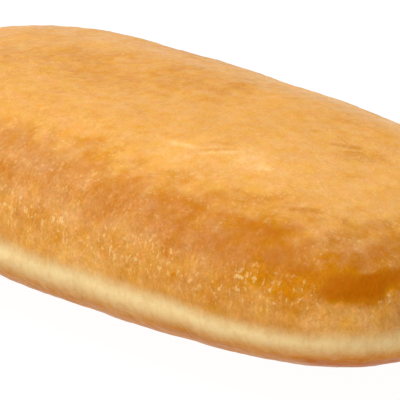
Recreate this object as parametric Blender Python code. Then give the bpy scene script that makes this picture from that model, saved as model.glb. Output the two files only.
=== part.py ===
"""A plain long john doughnut: one bar of yeast dough, fried on both faces and left unglazed.

The bar is one closed solid in metres, +Z up.  X runs along it and Y across it, and the
origin is under its middle, on the flat patch where the underside has settled.
"""

import math

import bmesh
import bpy
from mathutils import Matrix, Vector, noise

# Overall size of the bar, before the underside settles.
LENGTH = 0.158
WIDTH = 0.073
HEIGHT = 0.037
# The two fried halves meet at this height, along the widest line of the side.
RING_HEIGHT = 0.0148
# How far the soft underside is pressed flat where the bar rests.
FOOT_DEPTH = 0.0008

# How full each outline is: 2 is an ellipse, and a higher number is squarer.
PLAN_FULLNESS = 4.05
PROFILE_FULLNESS = 2.55
TOP_FULLNESS = 3.05
BASE_FULLNESS = 1.9

# Broad swells and hollows of the crust: centre along and across the bar, reach, and rise.
SWELLS = (
    (-0.040, -0.014, 0.022, 0.0005),
    (0.002, -0.019, 0.016, 0.0004),
    (0.034, -0.015, 0.018, 0.0004),
    (0.060, 0.004, 0.016, -0.0005),
    (-0.012, 0.000, 0.020, -0.0006),
    (-0.056, 0.004, 0.020, 0.0004),
    (0.020, 0.008, 0.018, 0.0003),
)
# Finer unevenness all over: the size of its lumps, how far they rise or sink, and the
# place in the noise that they are read from.
LUMP_SIZE = 0.017
LUMP_RISE = 0.0005
LUMP_START = Vector((20.0, 25.0, 27.0))

# Facets round the bar and along it.
STEPS_ROUND = 76
STEPS_ALONG = 60

NAME = "dough_bar"
COLLECTION_NAME = "long_john_doughnut"
CRUST_COLOUR = (0.74, 0.37, 0.09, 1.0)
CRUST_ROUGHNESS = 0.55


def clear_scene():
    for item in list(bpy.data.objects):
        bpy.data.objects.remove(item, do_unlink=True)


def make_collection(name):
    collection = bpy.data.collections.new(name)
    bpy.context.scene.collection.children.link(collection)
    return collection


def make_crust_material():
    material = bpy.data.materials.new("fried_dough_crust")
    material.use_nodes = True
    shader = material.node_tree.nodes["Principled BSDF"]
    shader.inputs["Base Color"].default_value = CRUST_COLOUR
    shader.inputs["Roughness"].default_value = CRUST_ROUGHNESS
    shader.inputs["Metallic"].default_value = 0.0
    return material


def push_out(u, v, fullness):
    """Scale that carries a point of the unit circle out to the superellipse."""
    return (abs(u) ** fullness + abs(v) ** fullness) ** (-1.0 / fullness)


def bar_point(direction):
    """The smooth bar's surface point for a direction of the unit sphere."""
    sideways = math.hypot(direction.y, direction.z)
    plan = push_out(direction.x, sideways, PLAN_FULLNESS)
    along = min(1.0, abs(direction.x) * plan)
    half_width = WIDTH / 2 * sideways * plan
    swell = (1.0 - along ** PROFILE_FULLNESS) ** (1.0 / PROFILE_FULLNESS)
    if sideways < 1e-6:
        return Vector((math.copysign(LENGTH / 2, direction.x), 0.0, RING_HEIGHT))
    across = direction.y / sideways
    upward = direction.z / sideways
    if upward > 0:
        section = push_out(across, upward, TOP_FULLNESS)
        reach = HEIGHT - RING_HEIGHT
    else:
        section = push_out(across, upward, BASE_FULLNESS)
        reach = RING_HEIGHT
    return Vector((
        math.copysign(LENGTH / 2 * along, direction.x),
        half_width * across * section,
        RING_HEIGHT + reach * swell * upward * section,
    ))


def crust_rise(point):
    """How far the uneven crust stands out of the smooth bar at a point."""
    rise = LUMP_RISE * noise.noise(point / LUMP_SIZE + LUMP_START)
    upper_share = max(0.0, min(1.0, (point.z - RING_HEIGHT) / (HEIGHT - RING_HEIGHT)))
    for along, across, reach, height in SWELLS:
        distance = math.hypot(point.x - along, point.y - across) / reach
        rise += height * upper_share * math.exp(-distance * distance)
    return rise


def settle(bm):
    """Press the underside flat and stand its middle on the origin."""
    for vert in bm.verts:
        vert.co.z = max(vert.co.z, FOOT_DEPTH)
    lows = [min(vert.co[axis] for vert in bm.verts) for axis in range(3)]
    highs = [max(vert.co[axis] for vert in bm.verts) for axis in range(3)]
    middle = Vector(((lows[0] + highs[0]) / 2, (lows[1] + highs[1]) / 2, lows[2]))
    bmesh.ops.translate(bm, verts=bm.verts, vec=-middle)


def make_bar(collection):
    """A sphere with its poles at the bar's ends, drawn out into the uneven bar."""
    bm = bmesh.new()
    bmesh.ops.create_uvsphere(
        bm,
        u_segments=STEPS_ROUND,
        v_segments=STEPS_ALONG,
        radius=1.0,
        matrix=Matrix.Rotation(math.radians(90.0), 4, "Y"),
    )
    for vert in bm.verts:
        vert.co = bar_point(vert.co)
    bm.normal_update()
    rises = [crust_rise(vert.co) for vert in bm.verts]
    for vert, rise in zip(bm.verts, rises):
        vert.co += vert.normal * rise
    settle(bm)
    bmesh.ops.recalc_face_normals(bm, faces=bm.faces)
    mesh = bpy.data.meshes.new(NAME)
    bm.to_mesh(mesh)
    bm.free()
    mesh.shade_smooth()
    bar = bpy.data.objects.new(NAME, mesh)
    collection.objects.link(bar)
    return bar


def main():
    clear_scene()
    collection = make_collection(COLLECTION_NAME)
    bar = make_bar(collection)
    bar.data.materials.append(make_crust_material())


main()
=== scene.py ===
"""The looks of a plain long john: a bar of yeast dough, fried golden brown and left unglazed."""

import math
import random

import bmesh
import bpy
from mathutils import Matrix, Vector, noise
from mathutils.geometry import intersect_point_line


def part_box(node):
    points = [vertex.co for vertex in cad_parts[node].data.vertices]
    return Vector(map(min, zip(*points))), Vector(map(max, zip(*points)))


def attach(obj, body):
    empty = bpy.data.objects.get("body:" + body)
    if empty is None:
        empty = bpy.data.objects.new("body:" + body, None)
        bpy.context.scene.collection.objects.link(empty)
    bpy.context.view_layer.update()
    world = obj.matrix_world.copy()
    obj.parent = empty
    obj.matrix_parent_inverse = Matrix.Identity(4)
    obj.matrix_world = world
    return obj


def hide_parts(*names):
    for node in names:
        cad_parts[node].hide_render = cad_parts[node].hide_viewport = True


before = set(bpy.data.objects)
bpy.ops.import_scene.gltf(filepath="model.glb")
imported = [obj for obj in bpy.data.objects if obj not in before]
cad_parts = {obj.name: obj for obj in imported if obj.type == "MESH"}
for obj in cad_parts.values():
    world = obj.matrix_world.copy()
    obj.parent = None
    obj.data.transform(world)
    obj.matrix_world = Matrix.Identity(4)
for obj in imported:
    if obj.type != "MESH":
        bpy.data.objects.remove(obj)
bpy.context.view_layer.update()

MM = 0.001

# ---------------------------------------------------------------- sizes of the form

# The bar's length and width come from its solid.
LOW, HIGH = (Vector(corner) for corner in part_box("dough_bar"))
LENGTH = HIGH.x - LOW.x
WIDTH = HIGH.y - LOW.y
# Heights are from the lowest point of the bar's form, before its underside is pressed flat.
FOOT_DEPTH = 0.8 * MM
RING_HEIGHT = 14.8 * MM
TOP_HEIGHT = 37.0 * MM

# How full each outline is: 2 is an ellipse, and a higher number is squarer.
PLAN_FULLNESS = 4.05
PROFILE_FULLNESS = 2.55
TOP_FULLNESS = 3.05
BASE_FULLNESS = 1.9
# A direction this close to the bar's long axis is one of its two ends.
END_DIRECTION = 1e-6

# Broad swells and hollows of the crust, in mm: centre along and across, reach, and rise.
SWELLS = (
    (-40, -14, 22, 0.5),
    (2, -19, 16, 0.4),
    (34, -15, 18, 0.4),
    (60, 4, 16, -0.5),
    (-12, 0, 20, -0.6),
    (-56, 4, 20, 0.4),
    (20, 8, 18, 0.3),
)
# Lumps all over: their size, how far they rise or sink, and where in the noise they are read.
LUMP_SIZE = 17 * MM
LUMP_RISE = 0.5 * MM
LUMP_START = Vector((20.0, 25.0, 27.0))

# The skin between the lumps: soft puckers, and the finer dimples among them.
PUCKER_SIZE = 5.5 * MM
PUCKER_RISE = 0.16 * MM
DIMPLE_SIZE = 1.9 * MM
DIMPLE_RISE = 0.08 * MM
# The puckers are noise of several sizes: how fast the finer ones fade, how many times finer each
# is than the one before, and how many there are.
PUCKER_NOISE = (0.9, 2.0, 3)
# Small blisters stand on the side.  Their radius is a share of their spacing, and their belt is
# the heights above the ring where they start, are full, thin out and end.
BLISTER_SPACING = 2.4 * MM
BLISTER_RADIUS = 0.45
BLISTER_RISE = 0.16 * MM
BLISTER_BELT = (1.0 * MM, 3.0 * MM, 8.0 * MM, 12.0 * MM)
# The pale ring lies in a slight hollow.
RING_HOLLOW = 0.25 * MM
RING_REACH = 2.0 * MM
# The crease is a shallow groove between two places of the top, with its reach, in mm.
CREASE = (Vector((27, -15.9, 21)), Vector((31.2, -12.1, 21.1)))
CREASE_REACH = 0.7
CREASE_DEPTH = 0.12 * MM

# The mesh's cells are under a millimetre across, and finer towards the bar's ends.
CELLS_ROUND = 300
CELLS_ALONG = 316

# ---------------------------------------------------------------- where the crust browned

# The pale ring doesn't run quite level.
WANDER_SIZE = 13 * MM
WANDER_RISE = 0.69 * MM
WANDER_START = Vector((42.0, 48.0, 9.0))
# It fades out this far above and below its line, and is narrower and duller towards the ends.
RING_ABOVE = 3.4 * MM
RING_BELOW = 5.1 * MM
END_ABOVE = 2.95 * MM
END_BELOW = 3.75 * MM
NARROWING = (25 * MM, 55 * MM)
END_STRENGTH = 0.86
DULLING = (56 * MM, 66 * MM)
# Its upper fade starts just below the line.
UPPER_FADE = -0.3 * MM

# How brown the crust is, from 0, hardly coloured, to 1, nearly burnt: on the top, the shoulder
# and the side, below the ring, and on the base, where the darker tone is painted shade.
TOP_TONE = 0.39
SHOULDER_TONE = 0.60
SIDE_TONE = 0.50
UNDER_TONE = 0.66
SHADED_BASE_TONE = 0.80
# How far up or down the skin faces, from 0, sideways, to 1, where one gives way to the next.
SIDE_TO_SHOULDER = (0.38, 0.70)
SHOULDER_TO_TOP = (0.85, 0.955)
SIDE_TO_UNDER = (0.1, 0.6)
UNDER_TO_SHADED_BASE = (0.6, 0.95)
# The same for the patterns of the side, which give way to those of the top and the base.
SIDE_PATTERNS_END = (0.70, 0.95)
# The edge between the shoulder and the top wavers by this share, as noise of several sizes.
EDGE_WAVER = 0.07
EDGE_WAVER_SIZE = 6 * MM
EDGE_WAVER_NOISE = (0.8, 2.0, 3)

# Browned and pale places, in mm: each runs from one point to another, given along, across and
# above the ring, and has a reach and a tone of its own.
SPOTS = (
    # The shoulder, which browned in patches.
    ((0, -31.5, 16), (5, -31, 16.5), 2.6, 0.05),
    ((19, -33, 13.5), (24, -31, 15.5), 4.3, 0.13),
    ((27.5, -26.5, 18.5), (32, -24.5, 19.3), 2.5, 0.13),
    ((33, -30, 16), (37, -30, 15.5), 4.0, 0.12),
    ((39, -27, 17.5), (43, -26, 17.5), 3.0, 0.12),
    ((38, -33, 12), (45, -31, 13.5), 4.0, 0.09),
    ((50, -30, 12.5), (56, -26, 14.5), 5.0, 0.17),
    ((50, -25, 16.5), (54, -23.5, 16.5), 3.0, 0.13),
    ((60, -30.5, 9.3), (66, -27, 9.8), 2.8, 0.14),
    ((57, -24, 15.3), (60.5, -23, 15), 2.2, 0.12),
    ((58.5, -28.7, 12), (62.5, -26, 12.7), 2.4, 0.16),
    ((67.5, -22, 11.8), (70.5, -8, 12.3), 3.2, 0.13),
    ((55.5, -19.3, 17), (59, -18, 16.6), 1.7, 0.10),
    ((62, -21.8, 14.6), (66, -14.5, 14.4), 1.8, 0.12),
    ((63.5, -15.3, 15.3), (65, -4, 15.2), 1.8, 0.15),
    ((-16, -28, 18), (-6, -26.5, 19), 2.4, 0.13),
    # Smaller ones lower down the side, and golden gaps among them.
    ((3, -35.5, 8.5), (6, -35.5, 9), 2.5, 0.10),
    ((7, -34.5, 12), (10, -34.3, 12.5), 2.2, 0.08),
    ((31, -34.5, 12), (33, -34, 12), 2.4, 0.08),
    ((42, -36, 6), (56, -34, 5.5), 2.6, 0.08),
    ((52, -33.5, 9.5), (55.5, -33, 9.3), 2.0, 0.11),
    ((64, -31, 6.5), (68, -29, 6), 2.0, 0.12),
    ((38, -34.8, 10.3), (40.5, -34.4, 10.5), 2.0, 0.14),
    ((45, -34, 11), (46.5, -33.7, 11), 1.8, 0.05),
    ((14, -36.5, 3.6), (22, -36.5, 3.4), 2.0, -0.10),
    ((68, -29, 3.2), (75, -24, 3.0), 2.4, -0.12),
    # The brownest patch, round the corner of the near end.
    ((70.2, -25.4, 8.9), (74.2, -21, 9), 2.8, 0.38),
    ((74, -20, 10.2), (76, -8, 10.8), 2.4, 0.40),
    # Pale and brown stretches of the top.
    ((24, -16.5, 21), (38, -13, 20.5), 5.0, -0.15),
    ((40, -8, 20.5), (56, -2, 19), 10.0, -0.09),
    ((-32, 0, 22), (6, 8, 22), 9.0, 0.09),
    # A paler strip along the far rim: painted sheen.
    ((5, 25, 19), (45, 24, 17.5), 4.0, -0.14),
    ((0, -25.5, 19.8), (13, -24.5, 20), 2.0, 0.10),
    ((40, -25, 18.2), (49, -18, 18.7), 1.8, 0.13),
    ((44, 4, 19.6), (48, 8, 19), 2.5, 0.13),
    # The underside: a browner place, and painted shade at its end.
    ((40, -33, -5), (48, -32.5, -4.5), 2.2, 0.12),
    ((66, -28, -7), (76, -12, -6.5), 3.8, 0.28),
)
# Short marks on the top, given in the same way: painted highlight on both lips of the crease,
# painted shade in its groove, and darker streaks.
CREASE_SHADING_AND_MARKS = (
    # The lips of the crease: painted highlight.
    ((20, -17, 21.2), (23, -16.8, 21.1), 1.0, -0.11),
    ((23.6, -16, 21.2), (26.6, -15.9, 21.1), 0.8, -0.12),
    ((28.5, -16.7, 20.9), (31.8, -13.1, 21), 0.7, -0.13),
    # The crease's groove: painted shade.
    ((27, -15.9, 21), (31.2, -12.1, 21.1), 0.5, 0.20),
    ((20.5, -15, 21.4), (22.5, -13, 21.5), 1.2, 0.12),
    ((26, -13.5, 21.4), (29, -11, 21.3), 1.3, 0.10),
    ((53, -19, 17.6), (56, -16, 17.4), 0.8, 0.22),
    ((40, 5, 20), (43, 8, 20), 0.8, 0.18),
)
# Places where the crust's colour is fuller or duller, given in the same way.
VIVID_PLACES = (
    ((57, -31.5, 9.8), (74, -21, 9), 2.8, 0.045),
    ((74.5, -20, 10.2), (76, -8, 10.8), 2.4, 0.05),
    ((62, -21, 14), (70, -12, 13), 2.8, -0.03),
    ((-14, -29, 17.5), (6, -29.5, 17.5), 4.0, -0.03),
    # A duller strip along the far rim: painted sheen.
    ((-50, 15.5, 19), (44, 22.5, 19.2), 3.5, -0.05),
)
# It is fuller low down too: not at all above the first height over the ring, and all of it below
# the second.
FULLER = (12 * MM, 8 * MM)
FULLER_CHANGE = 0.045
# How crisp the edges of all these places are, and after how many reaches they end.
SPOT_EDGE = 4
SPOT_END = 2
# How far their edges waver, how far those of the marks do, and how finely.
SPOT_WARP = 1.6 * MM
MARK_WARP = 0.5 * MM
WARP_SIZE = 5 * MM
# Vector noise is drawn from the clock unless it is given a seed other than 0.
WARP_SEED = 7

# More browned places are scattered by a seeded draw where the photograph doesn't show the
# shoulder.  The draw sets how steeply they lie above the ring, how far round the bar they run in
# radians, and their reach in mm and tone.
STRAY_SPOTS = 34
STRAY_SEED = 11
STRAY_SLOPE = (0.40, 0.70)
STRAY_TURN = (0.02, 0.12)
STRAY_REACH = (3.0, 5.5)
STRAY_TONE = (0.05, 0.20)
# The listed places cover the near side from here along the bar.
LISTED_FROM = -8 * MM

# Pale flecks, painted glints on raised skin, lie in one belt on the side and in fainter ones on
# the shoulder and along the edge of the top.  For each: the heights above the ring where it
# starts, is full, thins out and ends, and its share.
GLINT_FLECK_BELTS = (
    (2.0 * MM, 7.5 * MM, 9.5 * MM, 12.5 * MM, 1.0),
    (10.0 * MM, 12.5 * MM, 16.5 * MM, 18.5 * MM, 0.4),
    (16.5 * MM, 18.5 * MM, 21.0 * MM, 22.5 * MM, 0.45),
)

# ---------------------------------------------------------------- the crust's finish

# The crust's random patterns: size of their lumps, detail, and how far they are drawn out upright.
PATTERNS = {
    "cloud": (9 * MM, 3.0, 1.0),
    "patch": (3.4 * MM, 4.0, 1.15),
    "dullness": (3.6 * MM, 2.0, 1.0),
    "tint": (2.8 * MM, 2.0, 1.0),
    "mottle": (1.7 * MM, 2.0, 1.3),
    "grain": (0.5 * MM, 2.0, 1.0),
    "streak": (0.7 * MM, 2.0, 2.4),
    "fleck": (0.8 * MM, 1.5, 1.6),
    "cluster": (5 * MM, 2.0, 1.0),
}
PATTERN_ROUGHNESS = 0.66
# The patches have edges: their pattern goes from nothing to full between these values.
PATCH_EDGES = (0.42, 0.58)

# How far each pattern swings a value, on the top and on the side.
TONE_SWINGS = (
    ("cloud", 0.24, 0.15),
    ("patch", 0.065, 0.065),
    ("mottle", 0.21, 0.28),
    ("grain", 0.02, 0.16),
)
VIVIDNESS_SWINGS = (
    ("dullness", -0.19, -0.18),
    ("mottle", 0.05, 0.03),
    ("grain", -0.02, -0.06),
)
HUE_SWINGS = (
    ("tint", 0.022, 0.016),
)
# Lightness swings of the grain and streaks: painted fine glints and painted shade of the skin.
GLINT_AND_SHADE_SWINGS = (
    ("grain", 0.18, 0.72),
    ("streak", 0.0, 0.28),
)
# The side is a little duller than the top.
TOP_VIVIDNESS = 1.0
SIDE_VIVIDNESS = 0.955
# The brownest places are the most even: between these tones the swings of colour weaken to a share.
EVEN_TONES = (0.72, 0.95)
EVEN_SHARE = 0.3

# The crust's colour at each tone.
CRUST_COLOURS = (
    (0.0, "#efbf80"),
    (0.2, "#e2a75d"),
    (0.3, "#dea153"),
    (0.42, "#d79949"),
    (0.5, "#cf8f40"),
    (0.6, "#c58232"),
    (0.76, "#ba7112"),
    (1.0, "#ae5d00"),
)
# The ring is cream, and shows less where its mottles are strongest.
RING_COLOUR = "#e8ca90"
RING_BLOTCHES = (0.46, 0.62)
BLOTCHED_SHARE = 0.82
# Flecks, painted glints, go from nothing to full between these values of their own pattern, of
# their clusters' and of the tone.
GLINT_FLECK_COLOUR = "#f1cd8c"
GLINT_FLECK_STRENGTH = 0.45
FLECK_EDGES = (0.55, 0.67)
CLUSTER_EDGES = (0.32, 0.56)
FLECKED_TONES = (0.85, 0.65)

# The fine relief: its depth, and the shares of grain, flecks and streaks beside the mottles.
WRINKLE_DEPTH = 0.18 * MM
GRAIN_SHARE = 0.5
FLECK_SHARE = 0.3
STREAK_SHARE = 0.2
# The skin is shinier in some places than in others.
SKIN_ROUGHNESS = (0.25, 0.55)

# ---------------------------------------------------------------- the studio

# The photograph's view, with its distances in metres.
VIEW_AZIMUTH = math.radians(45.5)
VIEW_ELEVATION = math.radians(19.6)
VIEW_DISTANCE = 1.2
VIEW_WIDTH = 71.9 * MM
VIEW_TARGET = Vector((10.8 * MM, 0.0, 18.0 * MM))
SENSOR_WIDTH_MM = 36.0
NEAREST_SEEN = 0.05

# Round softboxes: place and width in metres, and power in watts.
SOFTBOXES = {
    "high_softbox": ((-0.36, -0.35, 1.2), 0.9, 13.6),
    "low_softbox": ((0.0, -1.0, 0.4), 0.6, 2.0),
}
SKY_STRENGTH = 0.55
FLOOR_RADIUS = 3.0
FLOOR_SIDES = 96

# Sockets of the Mix node when it mixes colours.
FACTOR = 0
FIRST = 6
SECOND = 7
MIXED = 2


# ---------------------------------------------------------------- helpers

def linear(hex_colour):
    """An sRGB hex value as the linear colour that a shader takes."""
    channels = [int(hex_colour[i:i + 2], 16) / 255 for i in (1, 3, 5)]
    return [c / 12.92 if c <= 0.04045 else ((c + 0.055) / 1.055) ** 2.4 for c in channels] + [1.0]


def add_node(tree, kind, inputs=None, output=0, stops=(), **settings):
    """Add a shader node with its settings, values, links and stops, and give one output."""
    node = tree.nodes.new(kind)
    for setting, value in settings.items():
        setattr(node, setting, value)
    for socket, value in (inputs or {}).items():
        if isinstance(value, bpy.types.NodeSocket):
            tree.links.new(value, node.inputs[socket])
        else:
            node.inputs[socket].default_value = value
    for place, _ in stops[1:-1]:
        node.color_ramp.elements.new(place)
    if stops:
        for element, (place, colour) in zip(node.color_ramp.elements, stops):
            element.position = place
            element.color = linear(colour)
    return node.outputs[output]


def new_material(name, finish):
    """A material with these values on its shader's own sockets, and its shader."""
    material = bpy.data.materials.new(name)
    material.use_nodes = True
    shader = material.node_tree.nodes["Principled BSDF"]
    for socket, value in finish.items():
        shader.inputs[socket].default_value = value
    return material, shader


def new_piece(name, bm):
    """The finished mesh as an object at the origin."""
    mesh = bpy.data.meshes.new(name)
    bm.to_mesh(mesh)
    bm.free()
    piece = bpy.data.objects.new(name, mesh)
    bpy.context.scene.collection.objects.link(piece)
    return piece


def smooth_step(value, low, high):
    """0 below low, 1 above high, and an S-curve between them."""
    share = max(0.0, min(1.0, (value - low) / (high - low)))
    return share * share * (3.0 - 2.0 * share)


def belt_share(height, start, full, thinning, end):
    """1 in the middle of a belt of heights, 0 outside it, and an S-curve at each edge."""
    return smooth_step(height, start, full) * (1.0 - smooth_step(height, thinning, end))


def apart_from(place, start, end):
    """Distance of a place from the run between two others."""
    share = intersect_point_line(place, start, end)[1]
    return (place - start.lerp(end, max(0.0, min(1.0, share)))).length


# ---------------------------------------------------------------- form

def push_out(u, v, fullness):
    """Scale that carries a point of the unit circle out to the superellipse."""
    return (abs(u) ** fullness + abs(v) ** fullness) ** (-1.0 / fullness)


def bar_point(direction):
    """The smooth bar's surface point for a direction of the unit sphere."""
    sideways = math.hypot(direction.y, direction.z)
    plan = push_out(direction.x, sideways, PLAN_FULLNESS)
    along = min(1.0, abs(direction.x) * plan)
    half_width = WIDTH / 2 * sideways * plan
    swell = (1.0 - along ** PROFILE_FULLNESS) ** (1.0 / PROFILE_FULLNESS)
    if sideways < END_DIRECTION:
        return Vector((math.copysign(LENGTH / 2, direction.x), 0.0, RING_HEIGHT))
    across = direction.y / sideways
    upward = direction.z / sideways
    if upward > 0:
        section = push_out(across, upward, TOP_FULLNESS)
        reach = TOP_HEIGHT - RING_HEIGHT
    else:
        section = push_out(across, upward, BASE_FULLNESS)
        reach = RING_HEIGHT
    return Vector((
        math.copysign(LENGTH / 2 * along, direction.x),
        half_width * across * section,
        RING_HEIGHT + reach * swell * upward * section,
    ))


def crust_rise(point):
    """How far the lumps and swells of the crust stand out of the smooth bar at a point."""
    rise = LUMP_RISE * noise.noise(point / LUMP_SIZE + LUMP_START)
    upper_share = max(0.0, min(1.0, (point.z - RING_HEIGHT) / (TOP_HEIGHT - RING_HEIGHT)))
    for along, across, reach, height in SWELLS:
        distance = math.hypot(point.x / MM - along, point.y / MM - across) / reach
        rise += height * MM * upper_share * math.exp(-distance * distance)
    return rise


def above_ring(point):
    """Height of a point above the wandering line of the ring."""
    level = Vector((point.x, point.y, 0.0))
    return point.z - RING_HEIGHT - WANDER_RISE * noise.noise(level / WANDER_SIZE + WANDER_START)


def skin_rise(point, height):
    """The finer relief of the skin: puckers, dimples, blisters, the crease and the ring's hollow."""
    rise = PUCKER_RISE * noise.fractal(point / PUCKER_SIZE, *PUCKER_NOISE)
    rise += DIMPLE_RISE * noise.noise(point / DIMPLE_SIZE)
    belt = belt_share(height, *BLISTER_BELT)
    if belt > 0:
        nearest = noise.voronoi(point / BLISTER_SPACING)[0][0]
        rise += BLISTER_RISE * belt * max(0.0, 1.0 - (nearest / BLISTER_RADIUS) ** 2)
    apart = apart_from(Vector((point.x, point.y, height)) / MM, *CREASE)
    rise -= CREASE_DEPTH * math.exp(-(apart / CREASE_REACH) ** 2)
    return rise - RING_HOLLOW * math.exp(-(height / RING_REACH) ** 2)


def settle(bm):
    """Press the underside flat and bring the bar to its solid's place."""
    for vert in bm.verts:
        vert.co.z = max(vert.co.z, FOOT_DEPTH)
    lows = [min(vert.co[axis] for vert in bm.verts) for axis in range(3)]
    highs = [max(vert.co[axis] for vert in bm.verts) for axis in range(3)]
    here = Vector(((lows[0] + highs[0]) / 2, (lows[1] + highs[1]) / 2, lows[2]))
    there = Vector(((LOW.x + HIGH.x) / 2, (LOW.y + HIGH.y) / 2, LOW.z))
    bmesh.ops.translate(bm, verts=bm.verts, vec=there - here)


# ---------------------------------------------------------------- browning

def listed(places):
    """A list of places with their two ends as vectors."""
    return [(Vector(start), Vector(end), reach, change) for start, end, reach, change in places]


def stray_spots():
    """Browned places on the shoulder, all round but where the listed ones are."""
    draw = random.Random(STRAY_SEED)
    ring_level = Vector((0.0, 0.0, RING_HEIGHT))
    spots = []
    for step in range(STRAY_SPOTS):
        turn = math.tau * (step + draw.random()) / STRAY_SPOTS
        reach = draw.uniform(*STRAY_REACH)
        tone = draw.uniform(*STRAY_TONE)
        run = []
        for place in (turn, turn + draw.uniform(*STRAY_TURN)):
            slope = draw.uniform(*STRAY_SLOPE)
            direction = Vector((math.cos(place), math.sin(place), slope)).normalized()
            run.append((bar_point(direction) - ring_level) / MM)
        if run[0].y > 0 or run[0].x < LISTED_FROM / MM:
            spots.append((*run, reach, tone))
    return spots


def spot_change(point, height, spots, warp):
    """What the spots that reach a point change there, their edges shifted this way and that."""
    place = (point + warp * noise.noise_vector(point / WARP_SIZE)) / MM
    place.z = height / MM
    total = 0.0
    for start, end, reach, change in spots:
        apart = apart_from(place, start, end)
        if apart < SPOT_END * reach:
            total += change * math.exp(-(apart / reach) ** SPOT_EDGE)
    return total


def face_tone(point, normal, height):
    """How brown the crust is at a point of the smooth bar, apart from its spots, with painted shade
    on the base.
    """
    if height < 0:
        tone = SIDE_TONE + (UNDER_TONE - SIDE_TONE) * smooth_step(-normal.z, *SIDE_TO_UNDER)
        # Darker on the base: painted shade.
        return tone + (SHADED_BASE_TONE - tone) * smooth_step(-normal.z, *UNDER_TO_SHADED_BASE)
    upward = normal.z + EDGE_WAVER * noise.fractal(point / EDGE_WAVER_SIZE, *EDGE_WAVER_NOISE)
    tone = SIDE_TONE + (SHOULDER_TONE - SIDE_TONE) * smooth_step(upward, *SIDE_TO_SHOULDER)
    return tone + (TOP_TONE - tone) * smooth_step(upward, *SHOULDER_TO_TOP)


def ring_share(point, height):
    """How much of the pale ring shows at a height above or below its line."""
    narrower = smooth_step(abs(point.x), *NARROWING)
    above = RING_ABOVE + (END_ABOVE - RING_ABOVE) * narrower
    below = RING_BELOW + (END_BELOW - RING_BELOW) * narrower
    fade = belt_share(height, -below, 0.0, UPPER_FADE, above)
    return fade * (1.0 + (END_STRENGTH - 1.0) * smooth_step(abs(point.x), *DULLING))


def glint_fleck_share(height):
    """How thick the pale flecks, painted glints, lie at a height above the ring."""
    return sum(share * belt_share(height, *belt) for *belt, share in GLINT_FLECK_BELTS)


def side_share(normal):
    """1 on the side and the shoulder, and 0 on the top and underneath."""
    return 1.0 - smooth_step(abs(normal.z), *SIDE_PATTERNS_END)


def crust_layers(verts, heights):
    """What the crust's finish follows at each point of the smooth bar, by name."""
    noise.seed_set(WARP_SEED)
    spots = listed(SPOTS) + stray_spots()
    marks = listed(CREASE_SHADING_AND_MARKS)
    vivid_places = listed(VIVID_PLACES)
    layers = {"tone": [], "vividness": [], "pale_ring": [], "glint_fleck_belt": [], "side": []}
    for vert, height in zip(verts, heights):
        tone = face_tone(vert.co, vert.normal, height)
        tone += spot_change(vert.co, height, spots, SPOT_WARP)
        tone += spot_change(vert.co, height, marks, MARK_WARP)
        vividness = FULLER_CHANGE * smooth_step(height, *FULLER)
        vividness += spot_change(vert.co, height, vivid_places, SPOT_WARP)
        layers["tone"].append(tone)
        layers["vividness"].append(vividness)
        layers["pale_ring"].append(ring_share(vert.co, height))
        layers["glint_fleck_belt"].append(glint_fleck_share(height))
        layers["side"].append(side_share(vert.normal))
    return layers


def make_bar():
    """A sphere with its poles at the bar's ends, drawn out into the uneven bar."""
    bm = bmesh.new()
    bmesh.ops.create_uvsphere(
        bm,
        u_segments=CELLS_ROUND,
        v_segments=CELLS_ALONG,
        radius=1.0,
        matrix=Matrix.Rotation(math.radians(90.0), 4, "Y"),
    )
    for vert in bm.verts:
        vert.co = bar_point(vert.co)
    bm.normal_update()
    heights = [above_ring(vert.co) for vert in bm.verts]
    layers = crust_layers(bm.verts, heights)
    rises = [
        crust_rise(vert.co) + skin_rise(vert.co, height)
        for vert, height in zip(bm.verts, heights)]
    for vert, rise in zip(bm.verts, rises):
        vert.co += vert.normal * rise
    settle(bm)
    bmesh.ops.recalc_face_normals(bm, faces=bm.faces)
    bar = new_piece("fried_dough_bar", bm)
    bar.data.shade_smooth()
    for name, values in layers.items():
        bar.data.attributes.new(name, "FLOAT", "POINT").data.foreach_set("value", values)
    return bar


# ---------------------------------------------------------------- crust

def random_patterns(tree):
    """One soft random pattern between 0 and 1 for each row of PATTERNS."""
    place = add_node(tree, "ShaderNodeTexCoord", output="Object")
    patterns = {}
    for name, (size, detail, upright) in PATTERNS.items():
        stretch = {"Vector": place, "Scale": (1.0, 1.0, 1 / upright)}
        drawn_out = add_node(tree, "ShaderNodeMapping", stretch)
        lumps = {
            "Vector": drawn_out,
            "Scale": 1 / size,
            "Detail": detail,
            "Roughness": PATTERN_ROUGHNESS,
        }
        patterns[name] = add_node(tree, "ShaderNodeTexNoise", lumps)
    nothing, full = PATCH_EDGES
    edges = {"Value": patterns["patch"], "From Min": nothing, "From Max": full}
    patterns["patch"] = add_node(tree, "ShaderNodeMapRange", edges)
    return patterns


def swing_about(tree, value, patterns, side, swings):
    """Let a value swing both ways with random patterns, each by its swing on top and on the side."""
    for name, on_top, on_side in swings:
        limits = {"Value": side, "To Min": on_top, "To Max": on_side}
        strength = add_node(tree, "ShaderNodeMapRange", limits)
        swing = add_node(tree, "ShaderNodeMath", {0: patterns[name], 1: 0.5}, operation="SUBTRACT")
        value = add_node(
            tree, "ShaderNodeMath", {0: swing, 1: strength, 2: value}, operation="MULTIPLY_ADD")
    return value


def browning(tree, patterns, side):
    """The crust's tone, broken up into patches and mottles."""
    tone = add_node(tree, "ShaderNodeAttribute", output="Fac", attribute_name="tone")
    return swing_about(tree, tone, patterns, side, TONE_SWINGS)


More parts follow.
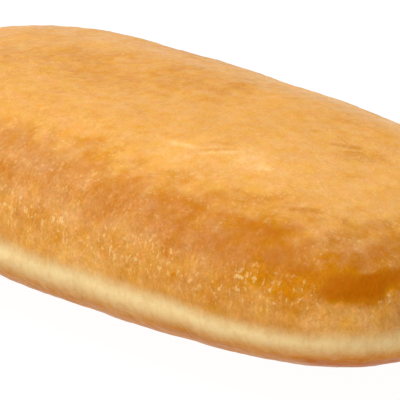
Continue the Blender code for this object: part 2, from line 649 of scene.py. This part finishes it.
def painted_glint_flecks(tree, patterns, tone):
    """Specks of thin raised skin with painted glints, clustered along their belts, none where it is
    brownest.
    """
    flecks = add_node(tree, "ShaderNodeAttribute", output="Fac", attribute_name="glint_fleck_belt")
    for value, (nothing, full) in (
        (patterns["fleck"], FLECK_EDGES),
        (patterns["cluster"], CLUSTER_EDGES),
        (tone, FLECKED_TONES),
    ):
        limits = {"Value": value, "From Min": nothing, "From Max": full}
        share = add_node(tree, "ShaderNodeMapRange", limits, interpolation_type="SMOOTHSTEP")
        flecks = add_node(tree, "ShaderNodeMath", {0: flecks, 1: share}, operation="MULTIPLY")
    return flecks


def browned_colour(tree, patterns, tone, side):
    """Golden where it browned least, to deep brown, uneven in vividness and hue, with painted fine
    glints and shade.
    """
    colour = add_node(tree, "ShaderNodeValToRGB", {"Fac": tone}, stops=CRUST_COLOURS)
    places = add_node(tree, "ShaderNodeAttribute", output="Fac", attribute_name="vividness")
    limits = {"Value": side, "To Min": TOP_VIVIDNESS, "To Max": SIDE_VIVIDNESS}
    vividness = add_node(tree, "ShaderNodeMapRange", limits)
    vividness = add_node(tree, "ShaderNodeMath", {0: vividness, 1: places}, operation="ADD")
    vividness = swing_about(tree, vividness, patterns, side, VIVIDNESS_SWINGS)
    # A hue of 0.5 leaves the colour's own: it is yellower in some places and pinker in others.
    hue = swing_about(tree, 0.5, patterns, side, HUE_SWINGS)
    # Painted fine glints and shade, as swings of lightness.
    light = swing_about(tree, 1.0, patterns, side, GLINT_AND_SHADE_SWINGS)
    first, last = EVEN_TONES
    limits = {"Value": tone, "From Min": first, "From Max": last, "To Min": 1.0, "To Max": EVEN_SHARE}
    uneven = add_node(tree, "ShaderNodeMapRange", limits)
    return add_node(
        tree, "ShaderNodeHueSaturation",
        {"Hue": hue, "Saturation": vividness, "Value": light, "Fac": uneven, "Color": colour})


def crumb_over(tree, colour, patterns, flecks):
    """The browned colour with painted glint flecks and the cream, faintly blotched ring laid over it.
    """
    ring = add_node(tree, "ShaderNodeAttribute", output="Fac", attribute_name="pale_ring")
    first, last = RING_BLOTCHES
    limits = {
        "Value": patterns["mottle"],
        "From Min": first,
        "From Max": last,
        "To Min": 1.0,
        "To Max": BLOTCHED_SHARE,
    }
    blotches = add_node(tree, "ShaderNodeMapRange", limits)
    ring = add_node(tree, "ShaderNodeMath", {0: ring, 1: blotches}, operation="MULTIPLY")
    flecks = add_node(tree, "ShaderNodeMath", {0: flecks, 1: GLINT_FLECK_STRENGTH}, operation="MULTIPLY")
    for share, over in ((flecks, GLINT_FLECK_COLOUR), (ring, RING_COLOUR)):
        layers = {FACTOR: share, FIRST: colour, SECOND: linear(over)}
        colour = add_node(tree, "ShaderNodeMix", layers, output=MIXED, data_type="RGBA")
    return colour


def fine_relief(tree, patterns, flecks):
    """The fine puckering of the skin, too small for the mesh."""
    relief = patterns["mottle"]
    for wrinkle, share in (
        (patterns["grain"], GRAIN_SHARE),
        (flecks, FLECK_SHARE),
        (patterns["streak"], STREAK_SHARE),
    ):
        relief = add_node(
            tree, "ShaderNodeMath", {0: wrinkle, 1: share, 2: relief}, operation="MULTIPLY_ADD")
    wrinkles = {"Height": relief, "Strength": 1.0, "Distance": WRINKLE_DEPTH}
    return add_node(tree, "ShaderNodeBump", wrinkles)


def fried_crust():
    """Yeast dough browned in hot fat: a mottled, faintly oily skin with a pale ring of crumb."""
    # The skin hardly shines, catches a soft light at its edges, and lets light a little way in.
    material, shader = new_material("fried_yeast_dough", {
        "Specular IOR Level": 0.03,
        "Sheen Weight": 0.18,
        "Sheen Roughness": 0.22,
        "Subsurface Weight": 0.12,
        "Subsurface Radius": (1.0, 0.45, 0.2),
        "Subsurface Scale": 1.5 * MM,
    })
    tree = material.node_tree
    patterns = random_patterns(tree)
    side = add_node(tree, "ShaderNodeAttribute", output="Fac", attribute_name="side")
    tone = browning(tree, patterns, side)
    flecks = painted_glint_flecks(tree, patterns, tone)
    browned = browned_colour(tree, patterns, tone, side)
    colour = crumb_over(tree, browned, patterns, flecks)
    relief = fine_relief(tree, patterns, flecks)
    smoothest, roughest = SKIN_ROUGHNESS
    limits = {"Value": patterns["mottle"], "To Min": smoothest, "To Max": roughest}
    roughness = add_node(tree, "ShaderNodeMapRange", limits)
    tree.links.new(colour, shader.inputs["Base Color"])
    tree.links.new(relief, shader.inputs["Normal"])
    tree.links.new(roughness, shader.inputs["Roughness"])
    return material


# ---------------------------------------------------------------- studio

def lit_acrylic():
    """Cast opal acrylic lit from below: an even white with only faint shadows."""
    material, _ = new_material("lit_opal_acrylic", {
        "Base Color": linear("#303030"),
        "Roughness": 0.9,
        "Emission Color": linear("#ffffff"),
        "Emission Strength": 0.97,
    })
    return material


def make_floor():
    """A plain light table, far wider than the view."""
    bm = bmesh.new()
    bmesh.ops.create_circle(bm, cap_ends=True, segments=FLOOR_SIDES, radius=FLOOR_RADIUS)
    floor = new_piece("studio_floor", bm)
    floor.data.materials.append(lit_acrylic())


def add_softbox(name, place, width, power):
    """A round soft light that faces the bar."""
    data = bpy.data.lights.new(name, "AREA")
    data.shape = "DISK"
    data.size = width
    data.energy = power
    softbox = bpy.data.objects.new(name, data)
    softbox.location = place
    softbox.rotation_euler = (VIEW_TARGET - Vector(place)).to_track_quat("-Z", "Y").to_euler()
    bpy.context.scene.collection.objects.link(softbox)


def light_studio():
    """Soft light from all round, and from the softboxes above and in front."""
    world = bpy.data.worlds.new("studio_sky")
    bpy.context.scene.world = world
    world.use_nodes = True
    sky = world.node_tree.nodes["Background"]
    sky.inputs["Color"].default_value = linear("#ffffff")
    sky.inputs["Strength"].default_value = SKY_STRENGTH
    for name, softbox in SOFTBOXES.items():
        add_softbox(name, *softbox)


def place_camera():
    """A camera in the photograph's place, with the photograph's width at the bar."""
    data = bpy.data.cameras.new("photo_view")
    data.sensor_width = SENSOR_WIDTH_MM
    data.lens = SENSOR_WIDTH_MM * VIEW_DISTANCE / VIEW_WIDTH
    data.clip_start = NEAREST_SEEN
    camera = bpy.data.objects.new("photo_view", data)
    back = Vector((
        math.sin(VIEW_AZIMUTH) * math.cos(VIEW_ELEVATION),
        -math.cos(VIEW_AZIMUTH) * math.cos(VIEW_ELEVATION),
        math.sin(VIEW_ELEVATION),
    ))
    camera.location = VIEW_TARGET + back * VIEW_DISTANCE
    camera.rotation_euler = (math.pi / 2 - VIEW_ELEVATION, 0.0, VIEW_AZIMUTH)
    bpy.context.scene.collection.objects.link(camera)
    bpy.context.scene.camera = camera


# The crust's colours are matched in the standard view, which shows them as they are.
bpy.context.scene.view_settings.view_transform = "Standard"
place_camera()
make_floor()
light_studio()
bar = make_bar()
bar.data.materials.append(fried_crust())
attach(bar, "root")
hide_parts("dough_bar")
